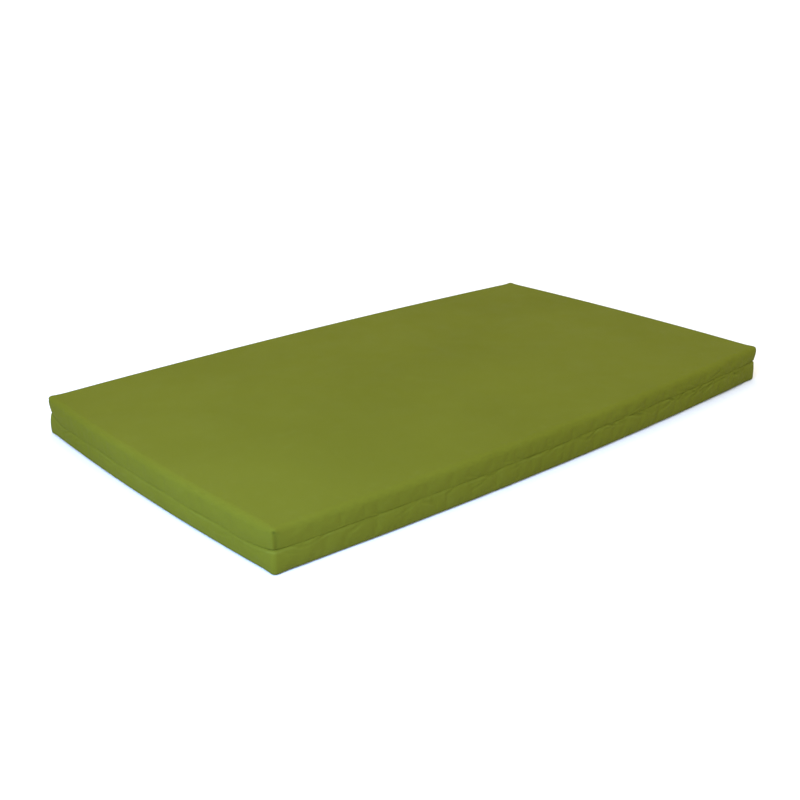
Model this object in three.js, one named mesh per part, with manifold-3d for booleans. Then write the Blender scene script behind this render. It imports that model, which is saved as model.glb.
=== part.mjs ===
// Crash landing mat: two layers of foam in a two-part coated-fabric cover. The two halves of the cover
// meet in a seam half-way up the sides. Three sides are sewn, and the back long side is closed by a zip.
//
// Millimetres, +Z up. The origin is on the floor under the middle of the mat, +X runs along its length,
// and +Y points to the back, where the zip is.
import * as THREE from "three";
import { mergeVertices } from "three/addons/utils/BufferGeometryUtils.js";
import Module from "manifold-3d";

// Plan of the cover. Each side is an arc: the fabric pulls the corners in, and the foam swells the middles.
const CORNER_X = 900; // half the length, at the corners
const CORNER_Y = 507; // half the width, at the corners
const LONG_BOW = 28; // how far a long side's middle stands out from the line between its corners
const SHORT_BOW = 16;
const CORNER_LEG = 36; // how far before the corner a side starts to turn into the other
const LONG_STEPS = 10; // straight facets along a long side
const SHORT_STEPS = 6;
const CORNER_STEPS = 5;

// Upright section of the cover.
const HEIGHT = 107;
const SEAM_Z = 54; // height of the seam between the two halves
const SEAM_GAP = 0.3; // between the two halves, and between pieces that touch
const FABRIC = 1.2; // wall of the cover
const TOP_ROUND = 18;
const BOTTOM_ROUND = 14;
const WAIST = 6; // how far the seam is drawn in from the widest line
const WAIST_RISE = 14; // height over which a side swells from the seam to its widest line
const ROUND_STEPS = 3;

// Foam. It is cut smaller than the cover, with a groove all round for the seam and the zip.
const FOAM_INSET = 3.5; // from the widest line of the cover to the foam
const FOAM_FACE = FABRIC + SEAM_GAP; // from the cover's outer face to the foam, at the top and at the bottom
const LANDING_THICKNESS = 30; // firm upper layer
const GROOVE_INSET = 13.5;
const GROOVE_MOUTH = 16; // half its height at the foam's side
const GROOVE_FLOOR = 2.5; // half its height at its bottom

// Bound edge of the sewn seam, inside the cover on three sides.
const BINDING_START = 7.5;
const BINDING_END = 12.5;
const BINDING_HALF_Z = 1.2;

// Care label, sewn in below the seam on one short side.
const LABEL = { width: 50, height: 26, thickness: 0.4, inset: 2.55, drop: 10, y: 300 };

// Zip, on the arc of the back side.
const ZIP_HALF_OPENING = 820; // the cover is open for the zip from -x to +x
const ZIP_EDGE = 7; // from the middle of the zip to the cover's edge
const ZIP_INSET = 3.2; // middle of the tapes, in from the widest line
const TAPE_THICKNESS = 1;
const TAPE_START = 3.3; // from the middle of the zip to a tape's near edge
const TAPE_END = 14;
const COIL_DEPTH = 2.6;
const COIL_HEIGHT = 2.85;
const COIL_START_X = -803;
const SLIDER_X = 790; // the slider's place when the zip is shut
const STOP_LENGTH = 3.5;
const ZIP_STEPS = 24;

// Zip slider. In its own frame x is the way it closes, y points out of the mat and z is up.
const SLIDER_LENGTH = 15;
const SLIDER_NOSE_HALF = 6.6; // half its height at the nose
const SLIDER_TAIL_HALF = 5.9;
const SLIDER_CAVITY = 1.7; // from the tapes' middle to the inside of each plate
const SLIDER_PLATE = 1.3;
const SLIDER_SLOT = 1; // from the tapes' middle to each flange, so that the tapes pass
const WEDGE_HALF = 1.6;
const CROWN = { length: 9, rise: 4.2, opening: 5.4, openingRise: 2.7, width: 2.4 };
const PIVOT_RISE = 1.4; // pull tab's axis above the slider's outer plate

// Pull tab.
const TAB_LENGTH = 34;
const TAB_HALF_WIDTH = 3.6;
const TAB_THICKNESS = 1.4;
const TAB_EYE_HALF = 1.75;
const TAB_EYE_LENGTH = 5;
const TAB_BAR = 0.8; // radius of the round bar under the crown

const COVER_GREEN = { color: 0x7d8a3a, roughness: 0.62, metalness: 0 };
const TAPE_GREEN = { color: 0x5c6a2a, roughness: 0.85, metalness: 0 };
const COIL_GREEN = { color: 0x4f5c25, roughness: 0.45, metalness: 0 };
const STEEL = { color: 0xb9bcc0, roughness: 0.3, metalness: 1 };
const FIRM_FOAM = { color: 0x8c9296, roughness: 0.95, metalness: 0 };
const SOFT_FOAM = { color: 0xe4dcc0, roughness: 0.95, metalness: 0 };
const LABEL_WHITE = { color: 0xefefea, roughness: 0.8, metalness: 0 };

const LONG_RADIUS = (CORNER_X ** 2 + LONG_BOW ** 2) / (2 * LONG_BOW);
const SHORT_RADIUS = (CORNER_Y ** 2 + SHORT_BOW ** 2) / (2 * SHORT_BOW);
const LONG_CENTRE_Y = CORNER_Y + LONG_BOW - LONG_RADIUS; // centre of the back side's arc
const SHORT_CENTRE_X = CORNER_X + SHORT_BOW - SHORT_RADIUS; // centre of the right side's arc
const ZIP_RADIUS = LONG_RADIUS - ZIP_INSET;
const FOAM_TOP = HEIGHT - FOAM_FACE;
const FOAM_SPLIT = FOAM_TOP - LANDING_THICKNESS;
const SLIDER_FACE = SLIDER_CAVITY + SLIDER_PLATE; // outer face of the slider, out from the tapes' middle

const wasm = await Module();
wasm.setup();

function solidOf(geometry) {
  const bare = geometry.clone();
  bare.deleteAttribute("normal");
  bare.deleteAttribute("uv");
  const merged = mergeVertices(bare, 1e-4);
  return new wasm.Manifold(
    new wasm.Mesh({
      numProp: 3,
      vertProperties: new Float32Array(merged.attributes.position.array),
      triVerts: new Uint32Array(merged.index.array),
    }),
  );
}

function geometryOf(solid) {
  const { vertProperties, triVerts } = solid.getMesh();
  const geometry = new THREE.BufferGeometry();
  geometry.setAttribute("position", new THREE.BufferAttribute(vertProperties, 3));
  geometry.setIndex(new THREE.BufferAttribute(triVerts, 1));
  return geometry;
}

function subtract(geometry, ...cutters) {
  return geometryOf(cutters.reduce((left, cutter) => left.subtract(solidOf(cutter)), solidOf(geometry)));
}

function join(first, ...others) {
  return geometryOf(others.reduce((sum, other) => sum.add(solidOf(other)), solidOf(first)));
}

function meshOf(name, geometry, finish) {
  const mesh = new THREE.Mesh(geometry, new THREE.MeshStandardMaterial(finish));
  mesh.name = name;
  return mesh;
}

// The curves of a quarter of the plan, from the middle of the right side to the middle of the back side.
function quarterPlan(inset) {
  const shortRadius = SHORT_RADIUS - inset;
  const longRadius = LONG_RADIUS - inset;
  const shortEnd = Math.asin((CORNER_Y - CORNER_LEG) / SHORT_RADIUS);
  const longEnd = Math.asin((CORNER_X - CORNER_LEG) / LONG_RADIUS);
  const side = new THREE.EllipseCurve(SHORT_CENTRE_X, 0, shortRadius, shortRadius, 0, shortEnd);
  const back = new THREE.EllipseCurve(
    0, LONG_CENTRE_Y, longRadius, longRadius, Math.PI / 2 - longEnd, Math.PI / 2,
  );
  const from = side.getPoint(1);
  const to = back.getPoint(0);
  // The corner's control point is where the two sides' end tangents cross.
  const rise = new THREE.Vector2(-Math.sin(shortEnd), Math.cos(shortEnd));
  const run = new THREE.Vector2(Math.cos(longEnd), -Math.sin(longEnd));
  const gap = to.clone().sub(from);
  const along = gap.cross(run) / rise.cross(run);
  const corner = new THREE.QuadraticBezierCurve(from, from.clone().addScaledVector(rise, along), to);
  return { side, corner, back };
}

// The whole plan as points, anticlockwise from the middle of the right side, as many at every inset.
function plan(inset) {
  const { side, corner, back } = quarterPlan(inset);
  const quarter = [
    ...side.getPoints(SHORT_STEPS / 2),
    ...corner.getPoints(CORNER_STEPS).slice(1),
    ...back.getPoints(LONG_STEPS / 2).slice(1),
  ];
  const mirrored = (points, sx, sy) => points.map((p) => new THREE.Vector2(p.x * sx, p.y * sy));
  const reversed = [...quarter].reverse();
  return [
    ...quarter,
    ...mirrored(reversed, -1, 1).slice(1),
    ...mirrored(quarter, -1, -1).slice(1),
    ...mirrored(reversed, 1, -1).slice(1, -1),
  ];
}

// A closed body through a stack of plans, each an [inset, z] pair. The first is capped facing down and the
// last facing up, so a stack that climbs the inside of a wall and comes back down its outside is a tray.
function stack(levels) {
  const rings = levels.map(([inset, z]) => plan(inset).map((p) => [p.x, p.y, z]));
  const count = rings[0].length;
  const index = [];
  for (let level = 0; level + 1 < rings.length; level++) {
    for (let i = 0; i < count; i++) {
      const next = (i + 1) % count;
      const [a, b] = [level * count + i, level * count + next];
      const [c, d] = [a + count, b + count];
      index.push(a, b, d, a, d, c);
    }
  }
  const cap = (level) =>
    THREE.ShapeUtils.triangulateShape(rings[level].map(([x, y]) => new THREE.Vector2(x, y)), []);
  for (const [a, b, c] of cap(0)) index.push(a, c, b);
  const top = (rings.length - 1) * count;
  for (const [a, b, c] of cap(rings.length - 1)) index.push(top + a, top + b, top + c);
  const geometry = new THREE.BufferGeometry();
  geometry.setAttribute("position", new THREE.Float32BufferAttribute(rings.flat(2), 3));
  geometry.setIndex(index);
  return geometry;
}

// One half of the cover's section as [inset, distance from the seam] pairs, from the seam's lip to the rim
// of the flat face. offset is how far the surface lies inside the outer one.
function halfSection(depth, round, offset) {
  const section = [];
  for (let i = 0; i <= ROUND_STEPS; i++) {
    const angle = (Math.PI / 2) * (i / ROUND_STEPS);
    section.push([
      offset + WAIST * (1 - Math.sin(angle)),
      SEAM_GAP / 2 + WAIST_RISE * (1 - Math.cos(angle)),
    ]);
  }
  for (let i = 0; i <= ROUND_STEPS; i++) {
    const angle = (Math.PI / 2) * (i / ROUND_STEPS);
    section.push([
      offset + (round - offset) * (1 - Math.cos(angle)),
      depth - round + (round - offset) * Math.sin(angle),
    ]);
  }
  return section;
}

// The cover's opening for the zip, as a block to cut away.
function zipOpening() {
  const reach = 30;
  const end = ZIP_HALF_OPENING;
  const block = band(LONG_RADIUS + reach, LONG_RADIUS - reach, -end, end, 2 * ZIP_EDGE);
  return block.translate(0, 0, SEAM_Z - ZIP_EDGE);
}

// A strip of the back side's arc between two radii, from one x to another, standing on z = 0.
function band(outer, inner, fromX, toX, height) {
  const angleAt = (x) => Math.PI / 2 - Math.asin(x / LONG_RADIUS);
  const shape = new THREE.Shape();
  shape.absarc(0, LONG_CENTRE_Y, outer, angleAt(toX), angleAt(fromX), false);
  shape.absarc(0, LONG_CENTRE_Y, inner, angleAt(fromX), angleAt(toX), true);
  return new THREE.ExtrudeGeometry(shape, {
    depth: height,
    bevelEnabled: false,
    curveSegments: ZIP_STEPS / 2,
  });
}

function upperCover() {
  const depth = HEIGHT - SEAM_Z;
  const inside = halfSection(depth, TOP_ROUND, FABRIC).reverse();
  const outside = halfSection(depth, TOP_ROUND, 0);
  const levels = [...inside, ...outside].map(([inset, rise]) => [inset, SEAM_Z + rise]);
  return meshOf("upper_cover", subtract(stack(levels), zipOpening()), COVER_GREEN);
}

function lowerCover() {
  const outside = halfSection(SEAM_Z, BOTTOM_ROUND, 0).reverse();
  const inside = halfSection(SEAM_Z, BOTTOM_ROUND, FABRIC);
  const levels = [...outside, ...inside].map(([inset, drop]) => [inset, SEAM_Z - drop]);
  return meshOf("lower_cover", subtract(stack(levels), zipOpening()), COVER_GREEN);
}

// A quarter round at the foam's edge, as [inset, z] pairs going up. sign is 1 at the top, -1 at the bottom.
function foamEdge(faceZ, round, sign) {
  const edge = [];
  for (let i = 0; i <= ROUND_STEPS; i++) {
    const angle = (Math.PI / 2) * (i / ROUND_STEPS);
    edge.push([
      FOAM_INSET + round * (1 - Math.cos(angle)),
      faceZ + sign * round * (Math.sin(angle) - 1),
    ]);
  }
  return sign > 0 ? edge : edge.reverse();
}

function landingFoam() {
  const edge = foamEdge(FOAM_TOP, TOP_ROUND - FOAM_INSET, 1);
  return meshOf("landing_foam", stack([[FOAM_INSET, FOAM_SPLIT], ...edge]), FIRM_FOAM);
}

function baseFoam() {
  const edge = foamEdge(FOAM_FACE, BOTTOM_ROUND - FOAM_INSET, -1);
  const groove = [
    [FOAM_INSET, SEAM_Z - GROOVE_MOUTH],
    [GROOVE_INSET, SEAM_Z - GROOVE_FLOOR],
    [GROOVE_INSET, SEAM_Z + GROOVE_FLOOR],
    [FOAM_INSET, SEAM_Z + GROOVE_MOUTH],
  ];
  const levels = [...edge, ...groove, [FOAM_INSET, FOAM_SPLIT - SEAM_GAP]];
  return meshOf("base_foam", stack(levels), SOFT_FOAM);
}

// The bound edge of the seam runs round the three sewn sides, from one back corner to the other.
function seamBinding() {
  const turn = (points) => {
    const quarter = SHORT_STEPS / 2 + CORNER_STEPS;
    const left = LONG_STEPS + quarter; // where the left back corner begins
    return [...points.slice(left), ...points.slice(0, quarter + 1)];
  };
  const outer = turn(plan(BINDING_START));
  const inner = turn(plan(BINDING_END)).reverse();
  const strip = new THREE.ExtrudeGeometry(new THREE.Shape([...outer, ...inner]), {
    depth: 2 * BINDING_HALF_Z,
    bevelEnabled: false,
  });
  return meshOf("seam_binding", strip.translate(0, 0, SEAM_Z - BINDING_HALF_Z), TAPE_GREEN);
}

function careLabel() {
  const turn = Math.asin(LABEL.y / SHORT_RADIUS);
  const radius = SHORT_RADIUS - LABEL.inset;
  const label = meshOf(
    "care_label",
    new THREE.BoxGeometry(LABEL.thickness, LABEL.width, LABEL.height),
    LABEL_WHITE,
  );
  label.position.set(
    SHORT_CENTRE_X + radius * Math.cos(turn),
    radius * Math.sin(turn),
    SEAM_Z - LABEL.drop - LABEL.height / 2,
  );
  label.rotation.z = turn;
  return label;
}

// One tape and one row of teeth on each side of the zip's middle. up is 1 above it and -1 below it.
function zipTape(name, up) {
  const height = TAPE_END - TAPE_START;
  const end = ZIP_HALF_OPENING - SEAM_GAP;
  const half = TAPE_THICKNESS / 2;
  const tape = band(ZIP_RADIUS + half, ZIP_RADIUS - half, -end, end, height);
  return meshOf(name, tape.translate(0, 0, SEAM_Z + (up > 0 ? TAPE_START : -TAPE_END)), TAPE_GREEN);
}

function zipCoil(name, up) {
  const half = COIL_DEPTH / 2;
  const coil = band(ZIP_RADIUS + half, ZIP_RADIUS - half, COIL_START_X, SLIDER_X, COIL_HEIGHT);
  const start = SEAM_GAP / 2;
  return meshOf(name, coil.translate(0, 0, SEAM_Z + (up > 0 ? start : -start - COIL_HEIGHT)), COIL_GREEN);
}

// A group on the zip's line at x, with its x along the zip, its y out of the mat and its z up.
function onZip(x, ...children) {
  const turn = Math.asin(x / LONG_RADIUS);
  const group = new THREE.Group();
  group.position.set(ZIP_RADIUS * Math.sin(turn), LONG_CENTRE_Y + ZIP_RADIUS * Math.cos(turn), SEAM_Z);
  group.rotation.z = -turn;
  group.add(...children);
  return group;
}

// A section drawn in the zip's (y, z) plane, drawn out along x from one end.
function alongZip(points, fromX, length) {
  const shape = new THREE.Shape(points.map(([y, z]) => new THREE.Vector2(y, z)));
  const solid = new THREE.ExtrudeGeometry(shape, { depth: length, bevelEnabled: false });
  const axes = new THREE.Matrix4().makeBasis(
    new THREE.Vector3(0, 1, 0), new THREE.Vector3(0, 0, 1), new THREE.Vector3(1, 0, 0),
  );
  return solid.applyMatrix4(axes).translate(fromX, 0, 0);
}

// A plate of the given outline in the zip's (x, z) plane, centred on the tapes.
function plateOnZip(shape, thickness) {
  const plate = new THREE.ExtrudeGeometry(shape, {
    depth: thickness,
    bevelEnabled: false,
    curveSegments: 5,
  });
  return plate.rotateX(Math.PI / 2).translate(0, thickness / 2, 0);
}

// A clip bent round the edge of one tape, which keeps the slider from running off when the zip is shut.
function topStop(name, up) {
  const outer = 1.8;
  const slot = TAPE_THICKNESS / 2 + SEAM_GAP;
  const [near, root, far] = [1.6, 3, 5.4];
  const outside = [[-outer, far], [-outer, near], [outer, near], [outer, far]];
  const inside = [[slot, far], [slot, root], [-slot, root], [-slot, far]];
  const section = [...outside, ...inside];
  const turned = up > 0 ? section : section.map(([y, z]) => [y, -z]).reverse();
  const start = SLIDER_LENGTH / 2 + 0.8;
  return meshOf(name, alongZip(turned, start, STOP_LENGTH), STEEL);
}

// One clip across both tapes, where the slider stops when the zip is open.
function bottomStop() {
  const outer = 1.8;
  const slot = TAPE_THICKNESS / 2 + SEAM_GAP;
  const [root, far] = [3, 5.4];
  const upperSlot = [[outer, far], [slot, far], [slot, root], [-slot, root], [-slot, far], [-outer, far]];
  const lowerSlot = upperSlot.map(([y, z]) => [-y, -z]);
  const clip = alongZip([...upperSlot, ...lowerSlot], -STOP_LENGTH, STOP_LENGTH);
  return meshOf("zip_bottom_stop", clip, STEEL);
}

// The slider's outline: wide at the nose, narrower at the tail, with round ends.
function sliderOutline() {
  const [nose, tail] = [SLIDER_LENGTH / 2, -SLIDER_LENGTH / 2];
  const [halfNose, halfTail] = [SLIDER_NOSE_HALF, SLIDER_TAIL_HALF];
  const shape = new THREE.Shape();
  shape.moveTo(tail + 2, -halfTail);
  shape.lineTo(nose - 3, -halfNose);
  shape.quadraticCurveTo(nose, -halfNose, nose, -halfNose + 3);
  shape.lineTo(nose, halfNose - 3);
  shape.quadraticCurveTo(nose, halfNose, nose - 3, halfNose);
  shape.lineTo(tail + 2, halfTail);
  shape.quadraticCurveTo(tail, halfTail, tail, halfTail - 2);
  shape.lineTo(tail, -halfTail + 2);
  shape.quadraticCurveTo(tail, -halfTail, tail + 2, -halfTail);
  return shape;
}

// Two plates with turned-in flanges, joined by the wedge that parts the teeth, and a crown for the tab.
function zipSlider() {
  const full = plateOnZip(sliderOutline(), 2 * SLIDER_FACE);
  const long = 2 * SLIDER_LENGTH;
  const throat = new THREE.BoxGeometry(long, 2 * SLIDER_CAVITY, 2 * (SLIDER_TAIL_HALF - SLIDER_PLATE));
  const slot = new THREE.BoxGeometry(long, 2 * SLIDER_SLOT, 4 * SLIDER_NOSE_HALF);
  const body = subtract(full, throat, slot);

  const wedgeShape = new THREE.Shape([
    new THREE.Vector2(0.8, 0),
    new THREE.Vector2(SLIDER_LENGTH / 2 - 2, -WEDGE_HALF),
    new THREE.Vector2(SLIDER_LENGTH / 2 - 0.5, 0),
    new THREE.Vector2(SLIDER_LENGTH / 2 - 2, WEDGE_HALF),
  ]);
  const wedge = plateOnZip(wedgeShape, 2 * SLIDER_CAVITY + 0.4);

  const arch = new THREE.Shape();
  const half = CROWN.length / 2;
  arch.moveTo(-half, -0.4);
  arch.lineTo(half, -0.4);
  arch.bezierCurveTo(half, CROWN.rise * 0.8, half * 0.6, CROWN.rise, 0, CROWN.rise);
  arch.bezierCurveTo(-half * 0.6, CROWN.rise, -half, CROWN.rise * 0.8, -half, -0.4);
  const gap = new THREE.Path();
  const open = CROWN.opening / 2;
  gap.moveTo(-open, 0.1);
  gap.bezierCurveTo(-open, CROWN.openingRise, -open * 0.5, CROWN.openingRise, 0, CROWN.openingRise);
  gap.bezierCurveTo(open * 0.5, CROWN.openingRise, open, CROWN.openingRise, open, 0.1);
  gap.lineTo(-open, 0.1);
  arch.holes.push(gap);
  const crown = new THREE.ExtrudeGeometry(arch, {
    depth: CROWN.width,
    bevelEnabled: false,
    curveSegments: 6,
  });
  crown.translate(0, SLIDER_FACE, -CROWN.width / 2);
  return meshOf("zip_slider", join(body, wedge, crown), STEEL);
}

// A plate with an eye whose end bar turns under the slider's crown. It lies back along the shut zip.
function pullTab() {
  const half = TAB_HALF_WIDTH;
  const shape = new THREE.Shape();
  const end = -TAB_LENGTH;
  shape.moveTo(0, -half + 0.6);
  shape.lineTo(0, half - 0.6);
  shape.lineTo(-TAB_EYE_LENGTH - 3, half);
  shape.lineTo(end + 3, half);
  shape.quadraticCurveTo(end, half, end, 0);
  shape.quadraticCurveTo(end, -half, end + 3, -half);
  shape.lineTo(-TAB_EYE_LENGTH - 3, -half);
  const hole = new THREE.Path();
  hole.absarc(end + 4.5, 0, 1.5, 0, 2 * Math.PI);
  shape.holes.push(hole);
  const plate = plateOnZip(shape, TAB_THICKNESS);
  const eyeLength = TAB_EYE_LENGTH + 2;
  const eye = new THREE.BoxGeometry(eyeLength, 2 * TAB_THICKNESS, 2 * TAB_EYE_HALF);
  eye.translate(eyeLength / 2 - TAB_EYE_LENGTH, 0, 0);
  const bar = new THREE.CylinderGeometry(TAB_BAR, TAB_BAR, 2 * half - 1.2, 10).rotateX(Math.PI / 2);
  const tab = meshOf("zip_pull_tab", join(subtract(plate, eye), bar), STEEL);
  tab.position.y = SLIDER_FACE + PIVOT_RISE;
  return tab;
}

const mat = new THREE.Group();
mat.add(
  upperCover(),
  lowerCover(),
  landingFoam(),
  baseFoam(),
  seamBinding(),
  careLabel(),
  zipTape("zip_tape_upper", 1),
  zipTape("zip_tape_lower", -1),
  zipCoil("zip_coil_upper", 1),
  zipCoil("zip_coil_lower", -1),
  onZip(
    SLIDER_X,
    zipSlider(),
    pullTab(),
    topStop("zip_top_stop_upper", 1),
    topStop("zip_top_stop_lower", -1),
  ),
  onZip(COIL_START_X - SEAM_GAP, bottomStop()),
);

export default mat;
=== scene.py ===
"""Crash landing mat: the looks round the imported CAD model.

The cover's two halves, the foam, the zip's teeth and its stitching are made here, and the zip's metal parts
are the CAD shapes with softened edges. Everything is in metres, in the CAD model's frame: +X along the mat,
-Y to the front, +Y to the back where the zip is, and the floor at z = 0.
"""

import math

import bmesh
import bpy
import numpy as np
from mathutils import Matrix, Vector
from mathutils.bvhtree import BVHTree


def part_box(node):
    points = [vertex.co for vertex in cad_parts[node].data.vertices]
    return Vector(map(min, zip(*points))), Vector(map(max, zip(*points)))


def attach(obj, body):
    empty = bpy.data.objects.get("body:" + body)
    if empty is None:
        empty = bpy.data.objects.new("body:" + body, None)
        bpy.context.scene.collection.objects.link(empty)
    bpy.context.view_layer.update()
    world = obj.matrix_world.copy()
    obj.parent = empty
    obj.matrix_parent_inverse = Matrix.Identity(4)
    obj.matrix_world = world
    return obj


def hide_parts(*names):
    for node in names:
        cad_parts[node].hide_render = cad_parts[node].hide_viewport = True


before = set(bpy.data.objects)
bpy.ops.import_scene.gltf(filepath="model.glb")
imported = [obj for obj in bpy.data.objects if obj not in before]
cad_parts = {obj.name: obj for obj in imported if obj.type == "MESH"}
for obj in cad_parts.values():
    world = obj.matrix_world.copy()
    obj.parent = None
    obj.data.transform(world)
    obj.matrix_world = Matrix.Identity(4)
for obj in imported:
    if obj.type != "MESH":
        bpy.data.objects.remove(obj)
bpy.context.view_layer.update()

MM = 0.001

# ---- the mat's plan and section, as the CAD model has them ----
cover_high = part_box("upper_cover")[1]
HALF_X, HALF_Y, HEIGHT = cover_high
LONG_BOW = 28 * MM  # how far the front and the back bow out between their corners
SHORT_BOW = 16 * MM
ZIP_Z = (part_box("zip_coil_upper")[0].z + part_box("zip_coil_lower")[1].z) / 2
ZIP_OPENING = 820 * MM  # the cover is open for the zip from -x to +x
ZIP_EDGE = 7 * MM  # from the middle of the zip to the cover's folded edge
ZIP_INSET = 3.2 * MM  # from the widest line to the middle of the tapes
COIL_START_X = -803 * MM
COIL_END_X = 790 * MM
COIL_PITCH = 2.4 * MM
STITCH_PITCH = 3.6 * MM
STITCH_LENGTH = 2.9 * MM

# ---- the cover's shape ----
CORE = 22 * MM  # from the cover's widest line to the core its columns stand on
CORNER_RADIUS = 11 * MM
TOP_ROUND = 17 * MM
BOTTOM_ROUND = 11 * MM
TOP_CROWN = 1.2 * MM
UPPER_WAIST = 3.4 * MM  # how far the corners are drawn in above the seam
LOWER_WAIST = 2.6 * MM
HEM = 6 * MM  # depth of the hem that is turned in at the seam
COLUMN = 3 * MM  # width of a face of the cover's side
LONG_COLUMNS = 600  # a multiple of 4, as is the next
SHORT_COLUMNS = 336
CORNER_COLUMNS = 16

# ---- the simulation of the cover's slack ----
SIM_STEP = 8 * MM  # width of a face of the simulated band
SIM_ROWS = 12
SIM_FRAMES = 20
SIM_CAP = 3 * MM  # the furthest that it may move the cloth

# ---- the photograph's camera, fitted to the mat's outline ----
CAMERA_PLACE = (-2.0118, -2.1189, 1.1272)
CAMERA_ANGLES = (-132.05, 20.89, 0.288)  # azimuth, elevation and roll, in degrees
CAMERA_LENS = 49.09  # mm, for a sensor 36 mm wide


# ================================================================ camera

def add_camera():
    """Looks down at the near left corner, turned a little clockwise."""
    azimuth, elevation, roll = (math.radians(angle) for angle in CAMERA_ANGLES)
    level = math.cos(elevation)
    back = Vector((level * math.cos(azimuth), level * math.sin(azimuth), math.sin(elevation)))
    right = (-back).cross(Vector((0, 0, 1))).normalized()
    up = right.cross(-back)
    level_right = right * math.cos(roll) + up * math.sin(roll)
    level_up = up * math.cos(roll) - right * math.sin(roll)
    data = bpy.data.cameras.new("camera")
    data.sensor_width = 36
    data.lens = CAMERA_LENS
    data.clip_end = 1000
    camera = bpy.data.objects.new("camera", data)
    axes = Matrix((level_right, level_up, back)).transposed()
    camera.matrix_world = Matrix.Translation(CAMERA_PLACE) @ axes.to_4x4()
    bpy.context.scene.collection.objects.link(camera)
    bpy.context.scene.camera = camera


# ================================================================ materials

class Nodes:
    """A material's node tree with short calls for its common nodes."""

    def __init__(self, name):
        self.material = bpy.data.materials.new(name)
        self.material.use_nodes = True
        self.tree = self.material.node_tree
        self.shader = self.tree.nodes["Principled BSDF"]
        self.coordinates = self.tree.nodes.new("ShaderNodeTexCoord").outputs["Object"]

    def link(self, source, target):
        self.tree.links.new(source, target)

    def fill(self, socket, value):
        if isinstance(value, bpy.types.NodeSocket):
            self.link(value, socket)
        else:
            socket.default_value = value

    def math(self, operation, a, b=0.0, clamp=False):
        node = self.tree.nodes.new("ShaderNodeMath")
        node.operation = operation
        node.use_clamp = clamp
        self.fill(node.inputs[0], a)
        self.fill(node.inputs[1], b)
        return node.outputs[0]

    def noise(self, scale, detail=2.0, roughness=0.5, distortion=0.0):
        node = self.tree.nodes.new("ShaderNodeTexNoise")
        self.link(self.coordinates, node.inputs["Vector"])
        node.inputs["Scale"].default_value = scale
        node.inputs["Detail"].default_value = detail
        node.inputs["Roughness"].default_value = roughness
        node.inputs["Distortion"].default_value = distortion
        return node.outputs["Fac"]

    def voronoi(self, scale):
        node = self.tree.nodes.new("ShaderNodeTexVoronoi")
        self.link(self.coordinates, node.inputs["Vector"])
        node.inputs["Scale"].default_value = scale
        return node.outputs["Distance"]

    def remap(self, value, low, high, to_low, to_high):
        node = self.tree.nodes.new("ShaderNodeMapRange")
        for socket, number in zip(list(node.inputs)[1:5], (low, high, to_low, to_high)):
            socket.default_value = number
        self.link(value, node.inputs[0])
        return node.outputs[0]

    def mix(self, factor, first, second):
        node = self.tree.nodes.new("ShaderNodeMix")
        node.data_type = "RGBA"
        self.fill(node.inputs[0], factor)
        self.fill(node.inputs[6], first)
        self.fill(node.inputs[7], second)
        return node.outputs[2]

    def axes(self, source=None):
        node = self.tree.nodes.new("ShaderNodeSeparateXYZ")
        self.link(source or self.coordinates, node.inputs[0])
        return list(node.outputs)

    def attribute(self, name):
        node = self.tree.nodes.new("ShaderNodeAttribute")
        node.attribute_name = name
        return node.outputs["Fac"]

    def normal_axes(self):
        geometry = self.tree.nodes.new("ShaderNodeNewGeometry")
        return [self.math("ABSOLUTE", axis) for axis in self.axes(geometry.outputs["True Normal"])]

    def bump(self, height, distance, strength=1.0, below=None):
        node = self.tree.nodes.new("ShaderNodeBump")
        node.inputs["Strength"].default_value = strength
        node.inputs["Distance"].default_value = distance
        self.link(height, node.inputs["Height"])
        if below is not None:
            self.link(below, node.inputs["Normal"])
        return node.outputs["Normal"]

    def finish(self, colour, roughness, normal=None, **uniform):
        self.fill(self.shader.inputs["Base Color"], colour)
        self.fill(self.shader.inputs["Roughness"], roughness)
        if normal is not None:
            self.link(normal, self.shader.inputs["Normal"])
        for socket, value in uniform.items():
            self.shader.inputs[socket.replace("_", " ")].default_value = value
        return self.material


def rgba(red, green, blue):
    return (red, green, blue, 1.0)


def weave(nodes, pitch):
    """Height of a plain weave, with its threads along the two axes that lie in the surface."""
    turns = 2 * math.pi / pitch
    threads = [nodes.math("SINE", nodes.math("MULTIPLY", axis, turns)) for axis in nodes.axes()]
    facing = nodes.normal_axes()
    total = 0.0
    for normal_axis in range(3):
        across, along = (threads[axis] for axis in range(3) if axis != normal_axis)
        checks = nodes.math("MULTIPLY", across, along)
        seen = nodes.math("GREATER_THAN", facing[normal_axis], 0.6)
        total = nodes.math("ADD", total, nodes.math("MULTIPLY", checks, seen))
    return total


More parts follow.
